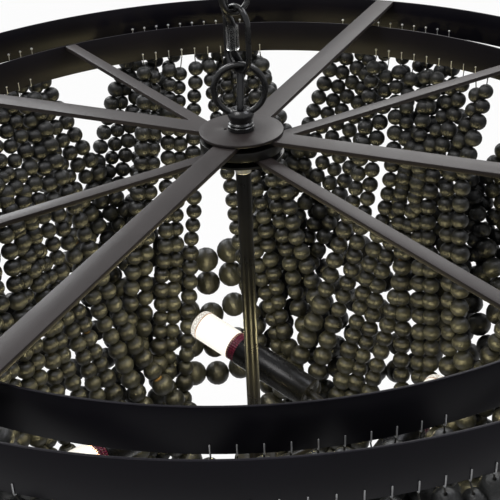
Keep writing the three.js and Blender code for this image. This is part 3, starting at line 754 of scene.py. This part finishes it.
makeHubLoop(hubSettings)
makeDiscs(hubSettings)
for band in (outerBand, innerBand):
    makeSpider(hubSettings, band)
    makeBand(bandSettings, band)
for name, settings in tubeSettings.items():
    makeTube(name, settings)
print("hub, spokes, bands and rod made")


# Bead strands. Each strand's counts say how many beads of each size half of it has. A row's inside and
# outside give how far its odd and even swags lean out, and how much further each next strand does. Waves
# are (pace, share) pairs.
beadSettings = {
    "sizes": (32, 28, 24, 20, 18, 16), "widths": (1.04, 1.0), "sides": (14, 20), "rings": 8,
    "wideFrom": 24, "holeShare": 0.13, "bareShare": 0.02, "bareFrom": 0.9, "sizeError": 0.025,
    "widthError": 0.03, "drift": 0.025, "driftBeats": (1.2, 2.8), "pinSpare": 1.5, "offset": 7,
    "sway": 1.5, "swayLength": 170, "swayEase": 30, "outWaves": ((1, 1), (2.3, 0.5)),
    "sideWaves": ((0.8, 1), (1.9, 0.6)), "stagger": 1.8, "staggerShare": (0.6, 1.2),
    "pinLength": 6, "hookDrop": 1.5, "pinRise": 7.2, "wireRadius": 0.45, "wireTurn": 0.4, "wireDrop": 0.8,
    "threadRadius": 0.6, "headSteps": (8, 5), "pullRange": 1e4, "halvings": 60,
}
outerRow = {
    "swags": 10, "firstAngle": 98.6, "pinPitch": 2.04, "taper": 80, "heads": (1.3, 1.6), "inside": (-2.5, 0),
    "outside": (20, 1.2),
    "counts": (
        (2, 1, 2, 4, 8, 0), (2, 1, 2, 5, 8, 1), (2, 2, 2, 5, 8, 2), (3, 2, 2, 6, 8, 2), (3, 2, 3, 6, 8, 3),
    ),
}
innerRow = {
    "swags": 8, "firstAngle": 97, "pinPitch": 2.5, "taper": 136, "heads": (0.6, 1.4), "inside": (-29, -3.2),
    "outside": (-0.5, 0),
    "counts": (
        (3, 2, 4, 6, 8, 2), (3, 3, 5, 7, 8, 2), (4, 4, 5, 8, 8, 3), (4, 4, 6, 9, 8, 4), (5, 5, 6, 9, 8, 5),
    ),
}


# The values that a bead's material reads at each point.
def addBeadNotes(bm):
    noteOwnPlace(bm)
    for name in ("beadTone", "beadBare"):
        bm.verts.layers.float.new(name)
    return bm


# One turned bead, 2 long along Z and as wide as the given share of that, with a hole and soft flats round
# it. The map beadTurn holds each corner's turn round the hole.
def turnedBead(s, sides, width):
    start = math.asin(s["holeShare"] / width)
    turns = [start + (math.pi - 2 * start) * i / s["rings"] for i in range(s["rings"] + 1)]
    bm = turnedShape([(width * math.sin(turn), math.cos(turn)) for turn in turns], sides, closed=True)
    layer = bm.loops.layers.uv.new("beadTurn")
    for face in bm.faces:
        middle = face.calc_center_median()
        aim = math.atan2(middle.y, middle.x)
        for loop in face.loops:
            turn = math.atan2(loop.vert.co.y, loop.vert.co.x)
            turn += 2 * math.pi * round((aim - turn) / (2 * math.pi))
            loop[layer].uv = (turn / (2 * math.pi), loop.vert.co.z)
    return meshFrom(addBeadNotes(bm), "bead")


# Half of a hanging strand as (sideways, up) places: each bead weighs as its diameter cubed, and a steady
# sideways pull holds the strand apart. The pull that reaches the pins is found by halving.
def hangStrand(beads, halfSpan, s):
    def run(pull):
        across, up, weight = 0, 0, beads[0] ** 3 / 2
        places = [(0, 0)]
        for i, size in enumerate(beads):
            above = beads[i + 1] / 2 if i + 1 < len(beads) else s["pinLength"]
            slope = math.atan2(weight, pull)
            across += (size / 2 + above) * math.cos(slope)
            up += (size / 2 + above) * math.sin(slope)
            places.append((across, up))
            weight += (2 * above) ** 3
        return places

    load = sum(size ** 3 for size in beads)
    low, high = load / s["pullRange"], load * s["pullRange"]
    for _ in range(s["halvings"]):
        middle = math.sqrt(low * high)
        if run(middle)[-1][0] < halfSpan:
            low = middle
        else:
            high = middle
    return run(high)


def addWaves(waves, turn, phases):
    return sum(share * math.sin(pace * turn + phase) for (pace, share), phase in zip(waves, phases))


# One strand's curve from pin to pin, with a little sway, and the sizes of the beads on it.
def strandCurve(row, band, s, swag, strand, chance):
    step = 2 * math.pi / row["swags"]
    centre = math.radians(row["firstAngle"]) + swag * step
    halfAngle = step - math.radians(row["pinPitch"]) * (len(row["counts"]) - 0.5 - strand)
    beads = [size for size, count in zip(s["sizes"], row["counts"][strand]) for _ in range(count)]
    half = hangStrand(beads, band["radius"] * math.sin(halfAngle), s)
    drop = half[-1][1]
    shift, shiftStep = row["outside"] if swag % 2 else row["inside"]
    lean = shift + shiftStep * strand
    top = band["top"] - bandSettings["height"] - s["hookDrop"]

    phases = [chance.uniform(0, 2 * math.pi) for _ in range(4)]
    stagger = s["stagger"] * (1 if strand % 2 else -1) * chance.uniform(*s["staggerShare"])

    def place(index, sign):
        across, up = half[index]
        depth = min((drop - up) / row["taper"], 1)
        out = band["radius"] * math.cos(halfAngle) + lean * depth * depth * (3 - 2 * depth)
        ease = min((drop - up) / s["swayEase"], 1)
        turn = 2 * math.pi * sign * (across + drop - up) / s["swayLength"]
        out += ease * (stagger + s["sway"] * addWaves(s["outWaves"], turn, phases[:2]))
        side = sign * across + ease * s["sway"] * addWaves(s["sideWaves"], turn, phases[2:])
        return Vector((
            out * math.cos(centre) - side * math.sin(centre),
            out * math.sin(centre) + side * math.cos(centre),
            top - drop + up,
        ))

    last = len(beads)
    curve = [place(i, -1) for i in range(last, 0, -1)] + [place(i, 1) for i in range(last + 1)]
    return curve, [*reversed(beads[1:]), *beads]


# Lays the beads along the curve. None is quite the size it should be, and every other strand starts lower,
# so that its beads lie between its neighbours' beads.
def layBeads(curve, nominal, strand, chance, s):
    reach = [0]
    for near, far in zip(curve, curve[1:]):
        reach.append(reach[-1] + (far - near).length)
    start = s["pinLength"] + s["offset"] * (strand % 2)
    first, last = (start + chance.uniform(-1, 1) * s["pinSpare"] for _ in range(2))
    beat, phase = chance.uniform(*s["driftBeats"]), chance.uniform(0, 2 * math.pi)
    lengths = []
    for i, size in enumerate(nominal):
        slow = s["drift"] * math.sin(2 * math.pi * beat * i / len(nominal) + phase)
        lengths.append(size * (1 + slow) * (1 + chance.uniform(-1, 1) * s["sizeError"]))
    fit = (reach[-1] - first - last) / sum(lengths)
    places, at, leg = [], first, 0
    for length in lengths:
        middle = at + length * fit / 2
        while reach[leg + 1] < middle:
            leg += 1
        share = (middle - reach[leg]) / (reach[leg + 1] - reach[leg])
        places.append(curve[leg].lerp(curve[leg + 1], share))
        at += length * fit
    return places, [length * fit for length in lengths]


def addBead(bm, beads, centre, along, size, chance, s):
    bead = beads[1] if size >= s["wideFrom"] else beads[0]
    spin = Matrix.Rotation(chance.uniform(0, 2 * math.pi), 4, "Z")
    aim = Vector((0, 0, 1)).rotation_difference(along).to_matrix().to_4x4()
    copy = bead.copy()
    bareEnd = chance.random() < s["bareShare"]
    copy.attributes["beadTone"].data.foreach_set("value", [chance.random()] * len(copy.vertices))
    if bareEnd:
        bare = [1.0 if vert.co.z > s["bareFrom"] else 0.0 for vert in copy.vertices]
        copy.attributes["beadBare"].data.foreach_set("value", bare)
    across = size / 2 * chance.uniform(1 - s["widthError"], 1 + s["widthError"])
    copy.transform(Matrix.Translation(centre) @ aim @ spin @ Matrix.Diagonal((across, across, size / 2, 1)))
    bm.from_mesh(copy)
    bpy.data.meshes.remove(copy)


# One pin goes through the band above its edge. From its ball head on the inner face and from its tail on
# the outer face the wire runs down round the edge to the top bead.
def pinPaths(hook, nextBead, band, s):
    out = Vector((hook.x, hook.y, 0)).normalized()
    bottom = band["top"] - bandSettings["height"]
    paths = []
    for side in (-1, 1):
        face = band["radius"] + side * (bandSettings["thickness"] / 2 + s["wireRadius"])
        path = [out * face + Vector((0, 0, bottom + rise)) for rise in (s["pinRise"], s["wireTurn"])]
        under = out * (face - side * s["wireTurn"]) + Vector((0, 0, bottom - s["wireDrop"]))
        paths.append([*path, under, hook, nextBead])
    return paths


def withMaterial(bm, index):
    for face in bm.faces:
        face.material_index = index
    return bm


def makeSwag(row, band, s, swag, beads):
    chance = random.Random(f"{band['name']} {swag}")
    bm = addBeadNotes(bmesh.new())
    threads, pins = [], []
    for strand in range(len(row["counts"])):
        curve, nominal = strandCurve(row, band, s, swag, strand, chance)
        places, sizes = layBeads(curve, nominal, strand, chance, s)
        path = [curve[0], *places, curve[-1]]
        for before, centre, after, size in zip(path, places, path[2:], sizes):
            addBead(bm, beads, centre, (after - before).normalized(), size, chance, s)
        threads.append(path)
        pins += pinPaths(path[0], path[1], band, s) + pinPaths(path[-1], path[-2], band, s)
    addShape(bm, withMaterial(roundWire(threads, s["threadRadius"], 0), 1))
    wires = roundWire(pins, s["wireRadius"], 0)
    around, along = s["headSteps"]
    for path in pins[::2]:
        head, place = chance.uniform(*row["heads"]), Matrix.Translation(path[0])
        bmesh.ops.create_uvsphere(wires, u_segments=around, v_segments=along, radius=head, matrix=place)
    addShape(bm, withMaterial(wires, 2))
    name, node = f"{band['name']}_strands_{swag + 1}", f"{band['name']}_swag_{swag + 1}"
    materials = ["stainedBeadWood", "beadThread", "pinWire"]
    finishPiece(name, bm, materials, "frame", [node], hubPlace)


beads = [turnedBead(beadSettings, *pair) for pair in zip(beadSettings["sides"], beadSettings["widths"])]
for row, band in ((outerRow, outerBand), (innerRow, innerBand)):
    for swag in range(row["swags"]):
        makeSwag(row, band, beadSettings, swag, beads)
    print(band["name"], "strands made")
for bead in beads:
    bpy.data.meshes.remove(bead)


# Lamps. The block's top is measured from the hub's top face, the finial's heights from its own top, and a
# lamp's heights along its axis from its sleeve's foot.
blockSettings = {
    "top": -352, "radius": 22, "height": 32, "edge": 3, "bevel": 0.5, "mouthRadius": 6.8, "mouthDepth": 12,
    "steps": 64, "gap": 0.3,
    "finial": (
        (0, -28), (3.85, -27.2), (7.37, -22.4), (10.23, -16.8), (11, -12.6), (9.9, -8.4), (6.6, -28 / 6),
        (6, -2), (6, 0), (0, 0),
    ),
}
armSettings = {
    "radius": 4.5, "start": 20, "inset": 16.3, "reach": 60, "runIn": 50, "tail": 6, "steps": 32,
    "smoothness": 6,
}
lampSettings = {
    "count": 4, "footRadius": 113.7, "footAngle": 57.6, "footRise": 15, "axisAngle": 140.2, "axisRise": 11.5,
    "gap": 0.3, "wireHole": 5.1, "sleeveRadius": 17.2, "sleeveWall": 1.5, "sleeveLength": 95,
    "sleeveFloor": 2.5, "sleeveEdge": 0.4, "cupRadius": 16.6, "cupBore": 12.8, "cupFoot": 6.5,
    "cupLength": 11, "cupEdge": 0.25, "ribs": 5, "ribDepth": 0.9,
    "bulbRadius": 17, "bulbLength": 54, "bulbBase": 12.2, "bulbBaseLength": 30, "bulbNeck": 1,
    "bulbShoulder": 3, "shoulderSteps": 4, "bulbTip": 6, "tipSteps": 8,
    "lightPower": 1.0, "lightColour": (1.0, 0.86, 0.44), "lightSize": 0.012,
}
armHeight = blockSettings["top"] - blockSettings["height"] / 2


def lampFrame(s, lamp):
    turn = Matrix.Rotation(math.radians(90 * lamp), 4, "Z")
    angle, axisAngle, rise = (math.radians(s[key]) for key in ("footAngle", "axisAngle", "axisRise"))
    reach, level = s["footRadius"], math.cos(rise)
    foot = Vector((reach * math.cos(angle), reach * math.sin(angle), armHeight + s["footRise"]))
    axis = Vector((level * math.cos(axisAngle), level * math.sin(axisAngle), math.sin(rise)))
    aim = Vector((0, 0, 1)).rotation_difference(axis).to_matrix().to_4x4()
    return hubPlace @ turn, foot, axis, hubPlace @ turn @ Matrix.Translation(foot) @ aim


def makeLampBlock(s):
    top, radius, edge = s["top"], s["radius"], s["edge"]
    bottom, mouthFloor = top - s["height"], top - s["mouthDepth"]
    profile = [
        (0, bottom), (radius - edge, bottom), (radius, bottom + edge), (radius, top - edge),
        (radius - edge, top), (s["mouthRadius"], top), (s["mouthRadius"], mouthFloor), (0, mouthFloor),
    ]
    bm = turnedShape(profile, s["steps"])
    roundEdges(bm, s["bevel"])
    framePiece("lamp_block", bm, "blackRod", "lamp_hub")
    bm = turnedShape([(radius, bottom - s["gap"] + height) for radius, height in s["finial"]])
    framePiece("finial_cap", bm, "blackRod", "finial")


def makeArm(s, lamp):
    place, foot, axis, _ = lampFrame(lampSettings, lamp)
    angle = math.radians(s["start"])
    out, level = Vector((math.cos(angle), math.sin(angle), 0)), Vector((0, 0, armHeight))
    leave = out * blockSettings["radius"] + level
    handles = (leave, leave + out * s["reach"], foot - axis * s["runIn"], foot)
    path = [out * s["inset"] + level]
    for i in range(s["steps"] + 1):
        t = i / s["steps"]
        shares = ((1 - t) ** 3, 3 * t * (1 - t) ** 2, 3 * t ** 2 * (1 - t), t ** 3)
        path.append(sum((handle * share for handle, share in zip(handles, shares)), Vector()))
    path.append(foot + axis * s["tail"])
    bm = roundWire([path], s["radius"], s["smoothness"])
    framePiece(f"arm_{lamp + 1}", bm, "blackRod", f"lamp_arm_{lamp + 1}", place)


def makeSleeve(s, lamp, place):
    hole, length, floor = s["wireHole"], s["sleeveLength"], s["sleeveFloor"]
    radius, inner = s["sleeveRadius"], s["sleeveRadius"] - s["sleeveWall"]
    profile = [(hole, 0), (radius, 0), (radius, length), (inner, length), (inner, floor), (hole, floor)]
    bm = turnedShape(profile, closed=True)
    roundEdges(bm, s["sleeveEdge"])
    framePiece(f"sleeve_{lamp + 1}", bm, "blackSleeve", f"lamp_sleeve_{lamp + 1}", place)


def makeCup(s, lamp, place):
    low, high = s["sleeveLength"] + s["gap"], s["sleeveLength"] + s["cupLength"]
    rib = (high - low) / s["ribs"]
    ribs = []
    for i in range(s["ribs"]):
        radius = s["cupRadius"] - s["ribDepth"] if i % 2 else s["cupRadius"]
        ribs += [(radius, low + i * rib), (radius, low + (i + 1) * rib)]
    inner = s["sleeveRadius"] - s["sleeveWall"] - s["gap"]
    boreFloor = high - s["bulbBaseLength"] - s["gap"]
    profile = [
        (0, s["cupFoot"]), (inner, s["cupFoot"]), (inner, low), *ribs, (s["cupBore"], high),
        (s["cupBore"], boreFloor), (0, boreFloor),
    ]
    bm = turnedShape(profile)
    roundEdges(bm, s["cupEdge"])
    noteOwnPlace(bm, high)
    name, node = f"ribbed_cup_{lamp + 1}", f"socket_cup_{lamp + 1}"
    framePiece(name, bm, "crimsonSocket", node, place)


# The bulb casts no shadow, so that the light inside it gets out.
def makeBulb(s, lamp, place):
    seat = s["sleeveLength"] + s["cupLength"] + s["gap"]
    tip, foot = seat + s["bulbLength"], seat - s["bulbBaseLength"]
    shoulder, end = s["bulbShoulder"], s["bulbTip"]
    profile = [
        (0, foot), (s["bulbBase"], foot), (s["bulbBase"], seat - s["bulbNeck"]),
        *arcPoints(s["bulbRadius"] - shoulder, seat + shoulder, shoulder, -90, 0, s["shoulderSteps"]),
        *arcPoints(s["bulbRadius"] - end, tip - end, end, 0, 90, s["tipSteps"]), (0, tip),
    ]
    bm = noteOwnPlace(turnedShape(profile), tip)
    name, body, node = f"lit_bulb_{lamp + 1}", f"bulb_body_{lamp + 1}", f"bulb_{lamp + 1}"
    piece = finishPiece(name, bm, ["litCrackleGlass"], body, [node], place)
    piece.visible_shadow = False
    data = bpy.data.lights.new(f"bulb_light_{lamp + 1}", "POINT")
    data.energy, data.color, data.shadow_soft_size = s["lightPower"], s["lightColour"], s["lightSize"]
    light = addObject(f"bulb_light_{lamp + 1}", data)
    light.location = (place @ Vector((0, 0, seat + s["bulbLength"] / 2))) * millimetre
    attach(light, f"bulb_body_{lamp + 1}")


makeLampBlock(blockSettings)
for lamp in range(lampSettings["count"]):
    makeArm(armSettings, lamp)
    *_, place = lampFrame(lampSettings, lamp)
    for makePiece in (makeSleeve, makeCup, makeBulb):
        makePiece(lampSettings, lamp, place)
print("lamps made")


# The CAD pieces that stay take their finishes.
keptFinishes = {
    "ceiling_bracket": "zincSteel", "loop_nut": "brightNickel", "canopy_screw_left": "blackChain",
    "canopy_screw_right": "blackChain", "hub_nipple": "zincSteel", "cord_sleeve": "clearPlasticSleeve",
}
for node, finish in keptFinishes.items():
    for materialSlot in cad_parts[node].material_slots:
        materialSlot.material = finishes[finish]
print("kept CAD pieces finished")


# Floor, background and studio lights (metres and watts): a light's name, place, width, power and colour.
studioSettings = {
    "floorDrop": 0.5, "floorHalf": 9, "floorCells": 8, "floorColour": (0.80, 0.79, 0.78), "floorMottle": 1.02,
    "floorScale": 3, "floorRoughness": 0.8, "floorWhite": 0.97,
    "worldLight": (0.93, 0.96, 1.0), "worldStrength": 0.2, "reflectedWhite": 0.32,
    "lights": (
        ("high_left", (-1.0, -0.5, 2.2), 1.4, 26, (1.0, 0.98, 0.98)),
        ("high_right", (1.4, 0.2, 1.9), 1.2, 18, (0.92, 0.93, 1.0)),
        ("far_left", (-1.3, 2.0, 1.0), 1.1, 24, (0.98, 0.99, 1.0)),
        ("far_back", (0.9, 2.2, 1.1), 1.4, 20, (1.0, 0.99, 0.98)),
    ),
}


# How much of the plain white a ray meets: all of it seen straight or through glass, less in reflections.
def whiteShare(tree, reflected):
    rays = addNode(tree, "LightPath", {}).outputs
    seen = calculate(tree, "MAXIMUM", rays["Is Camera Ray"], rays["Is Transmission Ray"])
    return calculate(tree, "MAXIMUM", seen, calculate(tree, "MULTIPLY", rays["Is Glossy Ray"], reflected))


def mixSurface(tree, share, first, second, output):
    both = addNode(tree, "MixShader", {"Fac": share, 1: first, 2: second})
    fill(tree, tree.nodes[output], {"Surface": both.outputs["Shader"]})


def makeWorld(s):
    world = bpy.data.worlds.new("paleStudio")
    world.use_nodes = True
    bpy.context.scene.world = world
    tree = world.node_tree
    soft = fill(tree, tree.nodes["Background"], {"Color": s["worldLight"], "Strength": s["worldStrength"]})
    white = addNode(tree, "Background", {"Color": (1, 1, 1)})
    share = whiteShare(tree, s["reflectedWhite"])
    mixSurface(tree, share, soft.outputs["Background"], white.outputs["Background"], "World Output")


def makeFloor(s):
    bm = bmesh.new()
    bmesh.ops.create_grid(bm, x_segments=s["floorCells"], y_segments=s["floorCells"], size=s["floorHalf"])
    mesh = meshFrom(bm, "floor")
    floor = addObject("floor", mesh)
    floor.location.z = cadBounds[0].z - s["floorDrop"]
    material, tree, shader = startMaterial("paleFloor")
    mottle = noise(tree, objectPlace(tree), s["floorScale"], detail=4)
    paler = tuple(min(1, share * s["floorMottle"]) for share in s["floorColour"])
    colour = tint(tree, mottle, s["floorColour"], paler)
    fill(tree, shader, {"Base Color": colour, "Roughness": s["floorRoughness"]})
    glow = addNode(tree, "Emission", {})
    share = calculate(tree, "MULTIPLY", whiteShare(tree, s["reflectedWhite"]), s["floorWhite"])
    mixSurface(tree, share, shader.outputs["BSDF"], glow.outputs["Emission"], "Material Output")
    mesh.materials.append(material)


def makeLights(s):
    middle = (cadBounds[0] + cadBounds[1]) / 2
    for name, place, size, power, colour in s["lights"]:
        data = bpy.data.lights.new(name, "AREA")
        data.shape = "DISK"
        data.size, data.energy, data.color = size, power, colour
        light = addObject(name, data)
        light.location = place
        light.rotation_euler = (middle - Vector(place)).to_track_quat("-Z", "Y").to_euler()


makeWorld(studioSettings)
makeFloor(studioSettings)
makeLights(studioSettings)
bpy.context.scene.view_settings.view_transform = "Standard"
print("studio made")
